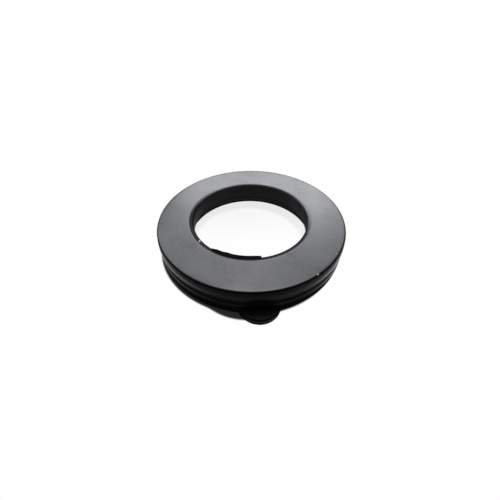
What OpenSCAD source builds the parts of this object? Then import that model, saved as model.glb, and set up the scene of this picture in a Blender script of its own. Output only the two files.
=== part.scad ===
// Moulded rubber washer for a garden-hose coupling.
//
// One solid, in millimetres: a flat ring whose bore is straight at the upper
// face and flares out towards the underside, two lands round its rim with a
// parting groove between them, a round tab low on one side that keys it in the
// coupling nut, and a film of moulding flash along part of the bore's upper
// edge. +Z is up. The origin is on the bore axis, halfway between the faces,
// and the tab points along -Y.

/* [Ring] */
// Outside diameter over the two lands
outer_d = 25.4; // [24:0.1:28]
// Diameter of the bore where it is straight, at the upper face
bore_d = 15.7; // [12:0.1:17]
// Height from face to face
thickness = 4.0; // [3:0.1:4.5]
// Radius on the edges of both faces
edge_r = 0.3; // [0.1:0.05:0.4]

/* [Flare] */
// Diameter of the bore's mouth in the underside
mouth_d = 17.6; // [17.2:0.1:19]
// How far down from the upper face the bore runs straight
straight_h = 2.3; // [1.5:0.1:2.5]

/* [Rim] */
// How far each land bulges out at its middle
land_crown = 0.06; // [0.02:0.01:0.1]
// Radius of the parting groove's round bottom
groove_r = 0.25; // [0.2:0.01:0.3]
// How deep the parting groove cuts into the lands
groove_depth = 0.14; // [0.05:0.01:0.18]

/* [Tab] */
// Radius of the round tab in plan
tab_r = 2.55; // [1.5:0.05:3]
// How far the tab reaches past the rim
tab_reach = 1.3; // [0.6:0.05:1.4]
// Height of the tab above the underside
tab_t = 1.0; // [0.8:0.05:1.3]
// Radius on the edges of the tab
tab_edge_r = 0.25; // [0.1:0.05:0.3]

/* [Flash] */
// How far the film of flash sticks into the bore
flash_reach = 0.25; // [0.1:0.05:0.5]
// How far the film's tip lies below the upper face
flash_drop = 0.08; // [0.04:0.01:0.12]
// Thickness of the film at its tip
flash_t = 0.06; // [0.04:0.01:0.1]
// Where the film starts, in degrees from +X
flash_start = -130; // [-180:1:180]
// How far round the bore the film runs, in degrees
flash_sweep = 45; // [10:1:90]

/* [Hidden] */
$fn = 96;

rim_r = outer_d / 2;
bore_r = bore_d / 2;
mouth_r = mouth_d / 2;
top_z = thickness / 2;

// Each land is an arc through its two edges, land_crown proud at its middle.
wall_r = rim_r - land_crown;
land_h = top_z - edge_r;
land_arc_r = (pow(land_h / 2, 2) + pow(land_crown, 2)) / (2 * land_crown);

// The radius inside the ring's wall where the tab's hidden part ends.
root_r = (mouth_r + rim_r) / 2;
tab_axis_r = rim_r + tab_reach - tab_r;

// Rectangle with rounded corners in the plane that is revolved, from radius r0
// to r1 and height z0 to z1.
module rounded_section(r0, r1, z0, z1, corner_r) {
    translate([r0 + corner_r, z0])
        square([r1 - r0 - 2 * corner_r, z1 - z0]);
    translate([r0, z0 + corner_r])
        square([r1 - r0, z1 - z0 - 2 * corner_r]);
    for (r = [r0 + corner_r, r1 - corner_r], z = [z0 + corner_r, z1 - corner_r])
        translate([r, z]) circle(r = corner_r);
}

// The bulge of the upper land, over the straight wall behind it.
module land_bulge() {
    intersection() {
        translate([rim_r - land_arc_r, land_h / 2])
            circle(r = land_arc_r, $fn = 360);
        translate([wall_r - edge_r, 0])
            square([2 * edge_r, land_h]);
    }
}

// What the flare takes off the straight bore, down to the underside.
module flare_section() {
    polygon([
        [bore_r, top_z - straight_h],
        [mouth_r, -top_z],
        [bore_r - edge_r, -top_z],
        [bore_r - edge_r, top_z - straight_h]
    ]);
}

// Half section of the ring: rounded at the faces, crowned at the lands, grooved
// where the two halves of the mould met, and flared in the bore.
module ring_section() {
    difference() {
        union() {
            rounded_section(bore_r, wall_r, -top_z, top_z, edge_r);
            land_bulge();
            mirror([0, 1]) land_bulge();
        }
        translate([wall_r - groove_depth + groove_r, 0])
            circle(r = groove_r);
        flare_section();
    }
}

module ring() {
    rotate_extrude() ring_section();
}

// Half section of a disc with rounded edges, for the tab.
module disc_section(r, h, corner_r) {
    square([r - corner_r, h]);
    translate([0, corner_r])
        square([r, h - 2 * corner_r]);
    for (z = [corner_r, h - corner_r])
        translate([r - corner_r, z]) circle(r = corner_r);
}

// Round tab: a flat disc that is cut off inside the ring's wall.
module tab() {
    difference() {
        translate([0, -tab_axis_r, -top_z])
            rotate_extrude() disc_section(tab_r, tab_t, tab_edge_r);
        cylinder(h = 2 * thickness, r = root_r, center = true);
    }
}

// Film of flash that rises into the bore from just under its upper edge, at 45
// degrees. Its root is inside the ring.
module flash() {
    run = flash_reach + edge_r;
    rotate([0, 0, flash_start])
        rotate_extrude(angle = flash_sweep)
            translate([bore_r - flash_reach, top_z - flash_drop])
                polygon([[0, 0], [run, -run], [run, -run - 2 * flash_t], [0, -flash_t]]);
}

module washer() {
    color([0.13, 0.13, 0.135])
        union() {
            ring();
            tab();
            flash();
        }
}

washer();
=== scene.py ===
import math

import bmesh
import bpy
from mathutils import Matrix, Vector


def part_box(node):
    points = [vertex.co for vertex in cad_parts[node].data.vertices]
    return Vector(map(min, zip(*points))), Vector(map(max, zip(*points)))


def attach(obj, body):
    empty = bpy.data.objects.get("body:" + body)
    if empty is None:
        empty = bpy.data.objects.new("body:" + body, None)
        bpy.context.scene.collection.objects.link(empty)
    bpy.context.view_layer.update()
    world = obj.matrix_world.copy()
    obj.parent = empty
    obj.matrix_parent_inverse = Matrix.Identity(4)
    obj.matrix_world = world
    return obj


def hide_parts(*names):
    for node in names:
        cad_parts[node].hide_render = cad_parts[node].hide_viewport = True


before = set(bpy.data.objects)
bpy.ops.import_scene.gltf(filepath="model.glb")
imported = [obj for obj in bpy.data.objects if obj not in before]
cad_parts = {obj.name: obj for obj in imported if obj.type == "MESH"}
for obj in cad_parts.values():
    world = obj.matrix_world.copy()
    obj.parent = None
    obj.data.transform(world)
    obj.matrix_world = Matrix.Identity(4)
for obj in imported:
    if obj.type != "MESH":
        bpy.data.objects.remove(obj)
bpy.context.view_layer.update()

MM = 0.001

# Lengths, heights and radii below are in millimetres, and azimuths in degrees from +X.
# The outside measures come from the solid.
low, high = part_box("washer")
TOP = high.z / MM
FLOOR = low.z / MM
RIM = high.x / MM

# Two points closer than HAIR are one point. A point closer than NEAR to a side of a
# section belongs to that side.
HAIR = 0.001
NEAR = 0.1

# The bore: its straight part, the flare below it, and its rounded upper edge.
BORE = 7.85
MOUTH = 8.8
FLARE_TOP = TOP - 2.3
EDGE = 0.3

# The rim: how far its corners and the groove's lips stand back, how far the crest of
# each land stands out, and where the crests and the groove lie.
CORNER_BACK = 0.11
CORNER_EDGE = 0.24
CREST_OUT = 0.029
CREST = 0.82
LIP_BACK = 0.06
GROOVE_HALF = 0.25
GROOVE_DEPTH = 0.2

# Roundings of the section's corners: how far from the corner each starts, and the
# number of its segments.
CREST_ROUND = (0.54, 10)
LIP_ROUND = (0.03, 3)
CORNER_ROUND = (CORNER_EDGE, 8)
GROOVE_ROUND = (0.12, 5)
EDGE_ROUND = (EDGE, 9)
FLARE_ROUND = (0.25, 3)
MOUTH_ROUND = (0.04, 2)

FACE_CUTS = 9
TURN_STEPS = 480
SMOOTH_ANGLE = 28

# The bore's upper edge was trimmed a little askew: deepest at TRIM_AZIMUTH, with a
# narrow flat shoulder beside it.
TRIM_AZIMUTH = math.radians(-115)
TRIM_WAY = (math.cos(TRIM_AZIMUTH), math.sin(TRIM_AZIMUTH))
TRIM_DROP = 0.11
TRIM_SINK = 0.005
TRIM_DRAW_IN = 0.9
SHOULDER = 8.42
SHOULDER_WIDTH = 0.05

# The round tab, low on the rim.
TAB_R = 2.55
TAB_AXIS = -low.y / MM - TAB_R
TAB_T = 1.0
TAB_EDGE = 0.25
TAB_EDGE_STEPS = 7
TAB_STEPS = 144

# The flash: the azimuths that it runs between, the radii of its tip and its root, its
# depths below the upper face, and the radius inside which it follows the ragged tip.
FLASH_START = -130.0
FLASH_END = -85.0
FLASH_STEPS = 90
FLASH_TIP = 7.6
FLASH_ROOT = BORE + 0.2
FLASH_TOP = TOP - 0.04
FLASH_BOTTOM = TOP - 0.5
FLASH_FREE = 7.8

# The upper and the lower line of the film, as (radius, height), at its dip and its tip.
FLASH_DIP_LINE = ((7.76, TOP - 0.15), (7.74, TOP - 0.25))
FLASH_TIP_LINE = ((FLASH_TIP, TOP - 0.06), (FLASH_TIP + 0.02, TOP - 0.12))

# How far the ragged tip reaches into the bore, as (azimuth, reach): it rises quickly,
# has one longer tongue, runs even for a stretch and is torn off short at its end.
RAGGED_TIP = [
    (-130, 0), (-125, 0.2), (-120, 0.2), (-115, 0.3), (-110, 0.25), (-90, 0.25), (-85, 0.15)
]

# Linear colours: the rubber itself, the paler grey painted on the bore's wall as painted
# light, paler still in its flare, the paler bloom on the flat faces, which also paints
# a highlight on the far half of the bore's edge, and dust.
BLACK = (0.004, 0.004, 0.0042, 1)
BORE_PAINTED_LIGHT = (0.020, 0.020, 0.020, 1)
FLARE_PAINTED_LIGHT = (0.060, 0.060, 0.060, 1)
BLOOM_AND_PAINTED_HIGHLIGHT = (0.050, 0.051, 0.056, 1)
WHITE_DUST = (0.62, 0.63, 0.62, 1)

# Where each part of the rubber's look comes in: none at the first value, all of it at
# the second. The bore's side, the painted shade on the near edge and the painted light
# in the bore are given as radii. TRIM_SIDE is the cosine of the turn away from
# TRIM_WAY.
BORE_SIDE = (11.0, 10.0)
TRIM_SIDE = (-0.6, 0.3)
# Painted shade: the near half of the bore's edge is painted black between these radii, in a band
# that narrows away from TRIM_WAY.
NEAR_EDGE_SHADE = (8.47, 8.37)
NEAR_EDGE_SHADE_TAPER = 0.3
# Painted light: the bore's wall is painted paler inside these radii.
BORE_LIGHT_RADII = (9.3, 8.9)
FLARE_HEIGHTS = (-0.5, -1.3)

# The same for bloom and gloss, as distances from the nearer face.
TRIM_BLOOM = (0.25, 0.01)
# On the far half of the bore's edge the bloom reaches further down the rounding, as a painted
# highlight, and so does the gloss.
FAR_EDGE_HIGHLIGHT = (0.38, 0.08)
RIM_BLOOM = (0.07, 0.01)
FACE_GLOSS = (0.025, 0.003)
FAR_EDGE_GLOSS = (0.22, 0.02)

# Where the lands were rubbed, as (height, squared reach up and down, share), the
# squared height of the fully rubbed core, and the sideways share of a point's way out.
RUBBED_LANDS = [(0.8, 0.16, 1.0), (-0.6, 0.14, 0.8)]
RUBBED_CORE = 0.01
RUBBED_SIDES = (0.1, 0.6)

# Patterns in the rubber, as (cells per mm, detail): wide blotches, grain and pores.
BLOTCHES = (0.35, 3)
GRAIN = (3.2, 4)
PORES = (14.0, 2)

# How much bloom there is at least, and how much the patterns add or take away.
LEAST_BLOOM = 0.55
BLOTCH_BLOOM = 0.48
GRAIN_BLOOM = 0.42
SMUDGE_LOSS = 0.16

# Roughness, gloss and relief of the surface.
ROUGHNESS = 0.2
GRAIN_ROUGHNESS = 0.1
DUST_ROUGHNESS = 0.4
BLOOM_GLOSS = 0.8
RUBBED_GLOSS = 0.75
GRAIN_RELIEF = 0.6
PORE_RELIEF = 0.4
RELIEF_HEIGHT = 0.02

# Specks of white dust and faint dark smudges on the upper face, as (x, y, radius), and
# how soft their edges are, as a share of the radius.
DUST = [
    (-6.6, -4.5, 0.14), (-6.6, -4.7, 0.13), (6.3, -10.8, 0.09),
    (9.3, -8.1, 0.04), (-11.8, -3.6, 0.05),
]
DUST_SOFTNESS = 0.35
SMUDGES = [(-7.4, -5.5, 0.45), (3.9, -7.7, 0.35)]
SMUDGE_SOFTNESS = 0.8

# The contact shadow shows inside two round outlines, one round the rim and one at the
# front: the middle of each, and the radii between which its shadow ends.
RIM_SHADE = (-0.28, -0.25, FLOOR)
RIM_SHADE_END = (12.55, 12.81)
FRONT_AZIMUTH = math.radians(-99.5)
FRONT_OUT = 6.5
FRONT_SHADE = (FRONT_OUT * math.cos(FRONT_AZIMUTH), FRONT_OUT * math.sin(FRONT_AZIMUTH), FLOOR)
FRONT_SHADE_END = (7.02, 7.3)

# The floor inside the bore: its share of glow, how white it is at the front, the painted
# shade that dims it towards the back next to the far wall, and the places along Y between
# which it turns.
HOLE_GLOW = 0.88
HOLE_WHITE = (1.0, 1.0, 1.0, 1)
HOLE_PAINTED_SHADE = (0.91, 0.91, 0.915, 1)
HOLE_TURNS = (-3.0, 7.5)

# The floor's paint, pale near the washer and darker further out, where only the washer
# reflects it, and the radii between which it turns.
NEAR_PAINT = (0.9, 0.9, 0.9, 1)
FAR_PAINT = (0.16, 0.16, 0.16, 1)
PAINT_TURNS = (14.0, 22.0)
FLOOR_WIDTH = 0.8

# The room's light on the washer, and the slightly blue light of the lamps behind it.
AMBIENT_GREY = (0.8, 0.8, 0.8, 1)
AMBIENT = 0.05
COOL = (0.95, 0.96, 1.0)

# The camera looks from EYE to AIM, both turned round the bore's axis, and is rolled.
CAMERA_TURN = math.radians(-5.4)
EYE = (0, -26.72, 23.15)
AIM = (-1.865, -2.120, 2.0)
ROLL = -0.0446
LENS = 17.656
SENSOR = 36
SHIFT = (0.0295, -0.0513)


class Value:
    """A socket in a node tree. Sums on it add Math nodes to the tree."""

    def __init__(self, nodes, socket):
        self.nodes = nodes
        self.socket = socket

    def beside(self, name):
        """Another output of the same node."""
        return Value(self.nodes, self.socket.node.outputs[name])

    def math(self, operation, other, flip=False):
        inputs = (other, self) if flip else (self, other)
        return self.nodes.add("Math", {"operation": operation}, dict(enumerate(inputs)))

    def __add__(self, other):
        return self.math("ADD", other)

    __radd__ = __add__

    def __sub__(self, other):
        return self.math("SUBTRACT", other)

    def __rsub__(self, other):
        return self.math("SUBTRACT", other, flip=True)

    def __mul__(self, other):
        return self.math("MULTIPLY", other)

    __rmul__ = __mul__

    def __truediv__(self, other):
        return self.math("DIVIDE", other)

    def __pow__(self, other):
        return self.math("POWER", other)


class Nodes:
    """The nodes of a material or a world, with one method that adds a node."""

    def __init__(self, owner):
        owner.use_nodes = True
        self.tree = owner.node_tree
        self.tree.nodes.clear()

    def add(self, kind, settings=None, inputs=None, output=0):
        node = self.tree.nodes.new("ShaderNode" + kind)
        for key, value in (settings or {}).items():
            setattr(node, key, value)
        for key, value in (inputs or {}).items():
            if isinstance(value, Value):
                self.tree.links.new(value.socket, node.inputs[key])
            else:
                node.inputs[key].default_value = value
        return Value(self, node.outputs[output]) if node.outputs else node

    def place(self):
        """The point's place on the piece, in millimetres."""
        point = self.add("TexCoord", output="Object")
        return self.add("VectorMath", {"operation": "SCALE"}, {0: point, "Scale": 1 / MM})

    def distance(self, place, middle):
        return self.add(
            "VectorMath", {"operation": "DISTANCE"}, {0: place, 1: middle}, output="Value"
        )

    def ramp(self, value, start, end):
        """Smooth step from 0 at start to 1 at end, which may be the lower of the two."""
        if start > end:
            return 1 - self.ramp(value, end, start)
        return self.add(
            "MapRange",
            {"interpolation_type": "SMOOTHSTEP"},
            {"Value": value, "From Min": start, "From Max": end},
        )

    def noise(self, place, scale, detail):
        """Noise from 0 to 1, with scale in cells per mm."""
        return self.add("TexNoise", inputs={"Vector": place, "Scale": scale, "Detail": detail})

    def mix(self, share, first, second):
        """Mix of two colours."""
        return self.add(
            "Mix", {"data_type": "RGBA"}, {"Factor": share, 6: first, 7: second}, output=2
        )

    def mix_shaders(self, share, first, second):
        return self.add("MixShader", inputs={0: share, 1: first, 2: second})

    def specks(self, place, specks, softness):
        """Mask of round specks on the upper face."""
        total = 0.0
        for x, y, size in specks:
            away = self.distance(place, (x, y, TOP))
            total = total + self.ramp(away, size * (1 + softness), size * (1 - softness))
        return total


def choose(piece):
    """Make this the one piece that the next operators act on."""
    bpy.ops.object.select_all(action="DESELECT")
    piece.select_set(True)
    bpy.context.view_layer.objects.active = piece


def start_editing(piece):
    choose(piece)
    bpy.ops.object.mode_set(mode="EDIT")


def stop_editing():
    bpy.ops.object.mode_set(mode="OBJECT")


def pick(piece, wanted, mode="VERT"):
    """Select the points or edges whose points all pass the test, given x, y and z in mm."""
    bpy.ops.mesh.select_mode(type="VERT")
    bpy.ops.mesh.select_all(action="DESELECT")
    mesh = bmesh.from_edit_mesh(piece.data)
    for point in mesh.verts:
        point.select = wanted(*(point.co / MM))
    mesh.select_flush_mode()
    bmesh.update_edit_mesh(piece.data)
    if mode != "VERT":
        bpy.ops.mesh.select_mode(type=mode)


def pick_all():
    bpy.ops.mesh.select_all(action="SELECT")


def nearest(piece, x, z):
    """A test that only the section's point nearest to x, z passes."""
    points = [point.co / MM for point in bmesh.from_edit_mesh(piece.data).verts]
    best_x, _, best_z = min(points, key=lambda point: math.hypot(point.x - x, point.z - z))
    return lambda px, py, pz: abs(px - best_x) < HAIR and abs(pz - best_z) < HAIR


def move_point(piece, here, there):
    """Move the section's point nearest to here to there, both (radius, height)."""
    pick(piece, nearest(piece, *here))
    mesh = bmesh.from_edit_mesh(piece.data)
    point = next(p.co for p in mesh.verts if p.select)
    target = Vector((there[0], 0, there[1])) * MM
    bpy.ops.transform.translate(value=target - Vector((point.x, 0, point.z)))


def round_point(piece, here, reach, segments):
    """Round the section's point nearest to here with an arc that starts reach away from it."""
    pick(piece, nearest(piece, *here))
    bpy.ops.mesh.bevel(offset=reach * MM, segments=segments, profile=0.5, affect="VERTICES")


def split_edge(piece, wanted, cuts):
    """Put cuts new points on the edge whose two ends pass the test."""
    pick(piece, wanted, mode="EDGE")
    bpy.ops.mesh.subdivide(number_cuts=cuts)


def section(name, r0, r1, z0, z1):
    """Flat rectangle in the plane that is spun, in edit mode."""
    bpy.ops.object.select_all(action="DESELECT")
    bpy.ops.mesh.primitive_plane_add(
        size=1,
        location=((r0 + r1) / 2 * MM, 0, (z0 + z1) / 2 * MM),
        rotation=(math.pi / 2, 0, 0),
    )
    piece = bpy.context.object
    piece.name = name
    piece.scale = ((r1 - r0) * MM, (z1 - z0) * MM, 1)
    bpy.ops.object.transform_apply(location=True, rotation=True, scale=True)
    start_editing(piece)
    return piece


def moulded_ring():
    """The ring: its half section is drawn point by point, rounded and spun once round."""
    ring = section("washer_rubber", BORE, RIM, FLOOR, TOP)

    # The bore flares out from FLARE_TOP down to the sharp edge of its mouth.
    move_point(ring, (BORE, FLOOR), (MOUTH, FLOOR))
    split_edge(ring, lambda x, y, z: x < MOUTH + NEAR, 1)
    move_point(ring, ((BORE + MOUTH) / 2, 0), (BORE, FLARE_TOP))

    # Two lands that rise a little to a crest each, and the groove between them. The
    # rim's side is cut in six, so its points lie a third of TOP apart.
    split_edge(ring, lambda x, y, z: x > RIM - NEAR, 5)
    for side in (1, -1):
        move_point(ring, (RIM, side * TOP), (RIM - CORNER_BACK, side * TOP))
        move_point(ring, (RIM, side * TOP * 2 / 3), (RIM + CREST_OUT, side * CREST))
        move_point(ring, (RIM, side * TOP / 3), (RIM - LIP_BACK, side * GROOVE_HALF))
    move_point(ring, (RIM, 0), (RIM - GROOVE_DEPTH, 0))

    for side in (1, -1):
        round_point(ring, (RIM, side * CREST), *CREST_ROUND)
        round_point(ring, (RIM - LIP_BACK, side * GROOVE_HALF), *LIP_ROUND)
        round_point(ring, (RIM - CORNER_BACK, side * TOP), *CORNER_ROUND)
    round_point(ring, (RIM - GROOVE_DEPTH, 0), *GROOVE_ROUND)
    round_point(ring, (BORE, TOP), *EDGE_ROUND)
    round_point(ring, (BORE, FLARE_TOP), *FLARE_ROUND)
    round_point(ring, (MOUTH, FLOOR), *MOUTH_ROUND)

    # Rings of points across the upper face. Its two innermost make the shoulder.
    inner, outer = BORE + EDGE, RIM - CORNER_BACK - CORNER_EDGE
    step = (outer - inner) / (FACE_CUTS + 1)
    split_edge(
        ring,
        lambda x, y, z: inner - HAIR < x < outer + HAIR and z > TOP - HAIR,
        FACE_CUTS,
    )
    move_point(ring, (inner + 2 * step, TOP), (SHOULDER + SHOULDER_WIDTH, TOP))
    move_point(ring, (inner + step, TOP), (SHOULDER, TOP))

    pick_all()
    bpy.ops.mesh.delete(type="ONLY_FACE")
    pick_all()
    bpy.ops.mesh.spin(steps=TURN_STEPS, angle=math.tau, center=(0, 0, 0), axis=(0, 0, 1))
    pick_all()
    bpy.ops.mesh.remove_doubles(threshold=HAIR * MM)
    bpy.ops.mesh.normals_make_consistent(inside=False)
    trim_bore_edge(ring)
    stop_editing()
    return ring


def trim_bore_edge(ring):
    """Tilt the bore's rounded upper edge, so that it is lowest at TRIM_AZIMUTH, and draw it in."""
    pick(ring, lambda x, y, z: z > TOP - EDGE + HAIR and math.hypot(x, y) < BORE + EDGE + HAIR)
    deepest = Vector((*TRIM_WAY, 0))
    face = Vector((0, 0, TOP * MM))
    tilt = TRIM_DROP / (2 * BORE)
    # With no window, rotate turns the other way.
    bpy.ops.transform.rotate(value=tilt * deepest.y, orient_axis="X", center_override=face)
    bpy.ops.transform.rotate(value=-tilt * deepest.x, orient_axis="Y", center_override=face)
    bpy.ops.transform.translate(value=(0, 0, -(TRIM_DROP / 2 + TRIM_SINK) * MM))
    bpy.ops.transform.resize(
        value=(1 - tilt * TRIM_DRAW_IN,) * 3, center_override=face - deepest * BORE * MM
    )


def locating_tab():
    """Round tab with rounded edges, which runs on into the ring."""
    bpy.ops.object.select_all(action="DESELECT")
    bpy.ops.mesh.primitive_cylinder_add(
        vertices=TAB_STEPS,
        radius=TAB_R * MM,
        depth=TAB_T * MM,
        location=(0, -TAB_AXIS * MM, (FLOOR + TAB_T / 2) * MM),
    )
    tab = bpy.context.object
    bpy.ops.object.transform_apply(location=True, rotation=True, scale=True)
    start_editing(tab)
    bpy.ops.mesh.select_mode(type="EDGE")
    bpy.ops.mesh.select_all(action="DESELECT")
    mesh = bmesh.from_edit_mesh(tab.data)
    for edge in mesh.edges:
        start, end = (point.co for point in edge.verts)
        edge.select = abs(start.z - end.z) < HAIR * MM
    bmesh.update_edit_mesh(tab.data)
    bpy.ops.mesh.bevel(
        offset=TAB_EDGE * MM, segments=TAB_EDGE_STEPS, profile=0.5, affect="EDGES"
    )
    stop_editing()
    return tab


def ragged_tip(azimuth):
    """Radius of the flash's tip at an azimuth."""
    for (a0, reach0), (a1, reach1) in zip(RAGGED_TIP, RAGGED_TIP[1:]):
        if azimuth <= a1:
            return BORE - reach0 - (reach1 - reach0) * (azimuth - a0) / (a1 - a0)
    return BORE - RAGGED_TIP[-1][1]


def flash_film():
    """Torn film of flash: it leaves the bore's upper edge, dips, and turns up at its tip."""
    film = section("flash", FLASH_TIP, FLASH_ROOT, FLASH_BOTTOM, FLASH_TOP)
    split_edge(film, lambda x, y, z: z > FLASH_TOP - NEAR, 1)
    split_edge(film, lambda x, y, z: z < FLASH_BOTTOM + NEAR, 1)
    middle = (FLASH_TIP + FLASH_ROOT) / 2
    for height, dip, tip in zip((FLASH_TOP, FLASH_BOTTOM), FLASH_DIP_LINE, FLASH_TIP_LINE):
        move_point(film, (middle, height), dip)
        move_point(film, (FLASH_TIP, height), tip)

    # With no window, rotate turns the other way.
    pick_all()
    bpy.ops.transform.rotate(
        value=-math.radians(FLASH_START), orient_axis="Z", center_override=(0, 0, 0)
    )
    sweep = FLASH_END - FLASH_START
    bpy.ops.mesh.spin(
        steps=FLASH_STEPS, angle=math.radians(sweep), center=(0, 0, 0), axis=(0, 0, -1)
    )
    pick_all()
    bpy.ops.mesh.remove_doubles(threshold=HAIR * MM)

    step = sweep / FLASH_STEPS
    for number in range(FLASH_STEPS + 1):
        azimuth = FLASH_START + number * step
        turn = math.radians(azimuth)
        out = Vector((math.cos(turn), math.sin(turn), 0))
        pick(
            film,
            lambda x, y, z: abs(math.degrees(math.atan2(y, x)) - azimuth) < step / 4
            and math.hypot(x, y) < FLASH_FREE,
        )
        bpy.ops.transform.translate(value=out * (ragged_tip(azimuth) - FLASH_TIP) * MM)
    pick_all()
    bpy.ops.mesh.normals_make_consistent(inside=False)
    stop_editing()
    return film


def join_solids(piece, tool):
    """Make one closed solid out of two that overlap."""
    choose(piece)
    union = piece.modifiers.new("join", "BOOLEAN")
    union.operation = "UNION"
    union.solver = "EXACT"
    union.object = tool
    bpy.ops.object.modifier_apply(modifier=union.name)
    bpy.data.objects.remove(tool)


def make_washer():
    ring = moulded_ring()
    join_solids(ring, locating_tab())
    join_solids(ring, flash_film())
    choose(ring)
    bpy.ops.object.shade_smooth_by_angle(angle=math.radians(SMOOTH_ANGLE))
    return ring


def black_rubber():
    """Satin black rubber with a paler bloom on its flat faces, grain, a few specks of dust, and
    painted shade and highlight round the bore.
    """
    material = bpy.data.materials.new("black_rubber")
    f = Nodes(material)
    place = f.place()
    x = f.add("SeparateXYZ", inputs={0: place})
    y, z = x.beside("Y"), x.beside("Z")
    radius = (x * x + y * y) ** 0.5
    depth = TOP - z
    rise = z - FLOOR

    # The bore's side of the ring; the trimmed near half of its edge, painted black there as
    # painted shade; and the far half, whose rounding gets a painted highlight.
    inner = f.ramp(radius, *BORE_SIDE)
    toward = (x * TRIM_WAY[0] + y * TRIM_WAY[1]) / radius
    trimmed = f.ramp(toward, *TRIM_SIDE)
    near_edge_shade = f.ramp(radius + (1 - toward) * NEAR_EDGE_SHADE_TAPER, *NEAR_EDGE_SHADE) * trimmed
    highlit_far_half = inner * (1 - trimmed)

    blotches = f.noise(place, *BLOTCHES)
    grain = f.noise(place, *GRAIN)
    pores = f.noise(place, *PORES)
    dust = f.specks(place, DUST, DUST_SOFTNESS)
    smudges = f.specks(place, SMUDGES, SMUDGE_SOFTNESS)

    # Bloom on the flat faces: down the far half's rounding it is a painted highlight, and the
    # painted shade takes it off the near half's edge.
    upper = f.ramp(depth, *TRIM_BLOOM) * (inner - highlit_far_half) * (1 - near_edge_shade)
    upper = upper + f.ramp(depth, *FAR_EDGE_HIGHLIGHT) * highlit_far_half + f.ramp(depth, *RIM_BLOOM) * (1 - inner)
    lower = f.ramp(rise, *TRIM_BLOOM)
    mottling = LEAST_BLOOM + blotches * BLOTCH_BLOOM + grain * GRAIN_BLOOM
    bloom_and_painted_highlight = (upper + lower) * mottling * (1 - smudges * SMUDGE_LOSS)

    gloss = f.ramp(depth, *FACE_GLOSS) * (1 - highlit_far_half) + f.ramp(depth, *FAR_EDGE_GLOSS) * highlit_far_half
    gloss = gloss + f.ramp(rise, *FACE_GLOSS)
    rubbed = sum(
        f.ramp((z - height) ** 2.0, reach, RUBBED_CORE) * share
        for height, reach, share in RUBBED_LANDS
    )
    rubbed = rubbed * (1 - inner) * f.ramp((x / radius) ** 2.0, *RUBBED_SIDES)

    # Painted light: the bore's wall is painted paler than the rim, and paler still low in the
    # flare.
    film = f.mix(f.ramp(z, *FLARE_HEIGHTS), BORE_PAINTED_LIGHT, FLARE_PAINTED_LIGHT)
    base = f.mix(f.ramp(radius, *BORE_LIGHT_RADII), BLACK, film)
    # Painted shade: the near half of the bore's edge is painted black.
    base = f.mix(near_edge_shade, base, BLACK)
    colour = f.mix(bloom_and_painted_highlight, base, BLOOM_AND_PAINTED_HIGHLIGHT)
    colour = f.mix(dust, colour, WHITE_DUST)

    relief = grain * GRAIN_RELIEF + pores * PORE_RELIEF
    bump = f.add(
        "Bump", inputs={"Strength": 0.22, "Distance": RELIEF_HEIGHT * MM, "Height": relief}
    )
    shader = f.add(
        "BsdfPrincipled",
        inputs={
            "Base Color": colour,
            "Roughness": ROUGHNESS + grain * GRAIN_ROUGHNESS + dust * DUST_ROUGHNESS,
            "IOR": 1.105,
            "Coat Weight": bloom_and_painted_highlight * gloss * BLOOM_GLOSS + rubbed * RUBBED_GLOSS,
            "Coat Roughness": 0.28,
            "Coat IOR": 1.5,
            "Normal": bump,
        },
    )
    f.add("OutputMaterial", inputs={"Surface": shader})
    return material


def white_floor():
    """White floor that glows away from the washer, keeps its shadow close to the rim, and has
    painted shade at the back of the bore.
    """
    material = bpy.data.materials.new("white_floor")
    f = Nodes(material)
    place = f.place()
    x = f.add("SeparateXYZ", inputs={0: place})
    y = x.beside("Y")
    radius = (x * x + y * y) ** 0.5
    inside = f.ramp(radius, *BORE_SIDE)

    past_rim = f.ramp(f.distance(place, RIM_SHADE), *RIM_SHADE_END)
    past_front = f.ramp(f.distance(place, FRONT_SHADE), *FRONT_SHADE_END)
    share = inside * HOLE_GLOW + (1 - inside) * past_rim * past_front

    paint = f.mix_shaders(
        f.ramp(radius, *PAINT_TURNS),
        f.add("BsdfDiffuse", inputs={"Color": NEAR_PAINT}),
        f.add("BsdfDiffuse", inputs={"Color": FAR_PAINT}),
    )
    # Inside the bore the glow dims towards the back: painted shade of the far wall.
    glow = f.mix_shaders(
        inside * f.ramp(y, *HOLE_TURNS),
        f.add("Emission", inputs={"Color": HOLE_WHITE, "Strength": 1.0}),
        f.add("Emission", inputs={"Color": HOLE_PAINTED_SHADE, "Strength": 1.0}),
    )
    seen = f.add("LightPath", output="Is Camera Ray")
    f.add("OutputMaterial", inputs={"Surface": f.mix_shaders(seen * share, paint, glow)})
    return material


def white_room():
    """World that is white behind the washer, and dim where it lights it."""
    world = bpy.data.worlds.new("white_room")
    f = Nodes(world)
    seen = f.add("LightPath", output="Is Camera Ray")
    lit = f.add("Background", inputs={"Color": AMBIENT_GREY, "Strength": AMBIENT})
    shown = f.add("Background", inputs={"Color": (1, 1, 1, 1), "Strength": 1.0})
    f.add("OutputWorld", inputs={"Surface": f.mix_shaders(seen, lit, shown)})
    bpy.context.scene.world = world


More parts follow.
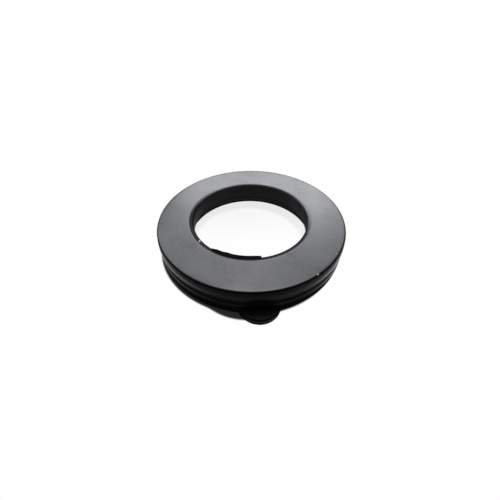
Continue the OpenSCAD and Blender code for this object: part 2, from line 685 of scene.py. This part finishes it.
def lamp(name, place, size, radiance, lit_piece, colour=(1, 1, 1)):
    """Rectangular lamp that faces the middle of the washer and lights one piece alone.

    Its radiance is its brightness per unit of area. The other pieces still cast
    their shadow in its light.
    """
    data = bpy.data.lights.new(name, "AREA")
    data.shape = "RECTANGLE"
    data.size, data.size_y = size
    data.color = colour
    data.energy = radiance * math.pi * size[0] * size[1]
    obj = bpy.data.objects.new(name, data)
    bpy.context.scene.collection.objects.link(obj)
    obj.location = place
    obj.visible_camera = False
    obj.rotation_euler = (-Vector(place)).to_track_quat("-Z", "Y").to_euler()
    lit = bpy.data.collections.new("lit_by_" + name)
    lit.objects.link(lit_piece)
    obj.light_linking.receiver_collection = lit


def camera():
    data = bpy.data.cameras.new("camera")
    data.lens = LENS
    data.sensor_width = SENSOR
    data.shift_x, data.shift_y = SHIFT
    data.clip_start = 1 * MM
    obj = bpy.data.objects.new("camera", data)
    bpy.context.scene.collection.objects.link(obj)
    turn = Matrix.Rotation(CAMERA_TURN, 3, "Z")
    eye = turn @ Vector(EYE) * MM
    aim = turn @ Vector(AIM) * MM
    facing = (aim - eye).to_track_quat("-Z", "Y").to_matrix()
    rolled = facing @ Matrix.Rotation(ROLL, 3, "Z")
    obj.matrix_world = Matrix.Translation(eye) @ rolled.to_4x4()
    bpy.context.scene.camera = obj


washer = make_washer()
washer.data.materials.clear()
washer.data.materials.append(black_rubber())
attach(washer, "root")
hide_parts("washer")

bpy.ops.object.select_all(action="DESELECT")
bpy.ops.mesh.primitive_plane_add(size=FLOOR_WIDTH, location=(0, 0, FLOOR * MM))
floor = bpy.context.object
floor.name = "floor"
floor.data.materials.append(white_floor())

white_room()
lamp("key", (0.033, 0.102, 0.345), (0.05, 0.05), 180.0, floor)
lamp("overhead", (0.034, 0.060, 0.353), (0.26, 0.26), 5.2, washer)
lamp("back_high", (-0.03, 0.24, 0.25), (0.66, 0.13), 2.9, washer, COOL)
lamp("back_low", (0.04, 0.29, 0.183), (0.25, 0.08), 6.4, washer, COOL)
camera()
bpy.context.scene.view_settings.view_transform = "Standard"
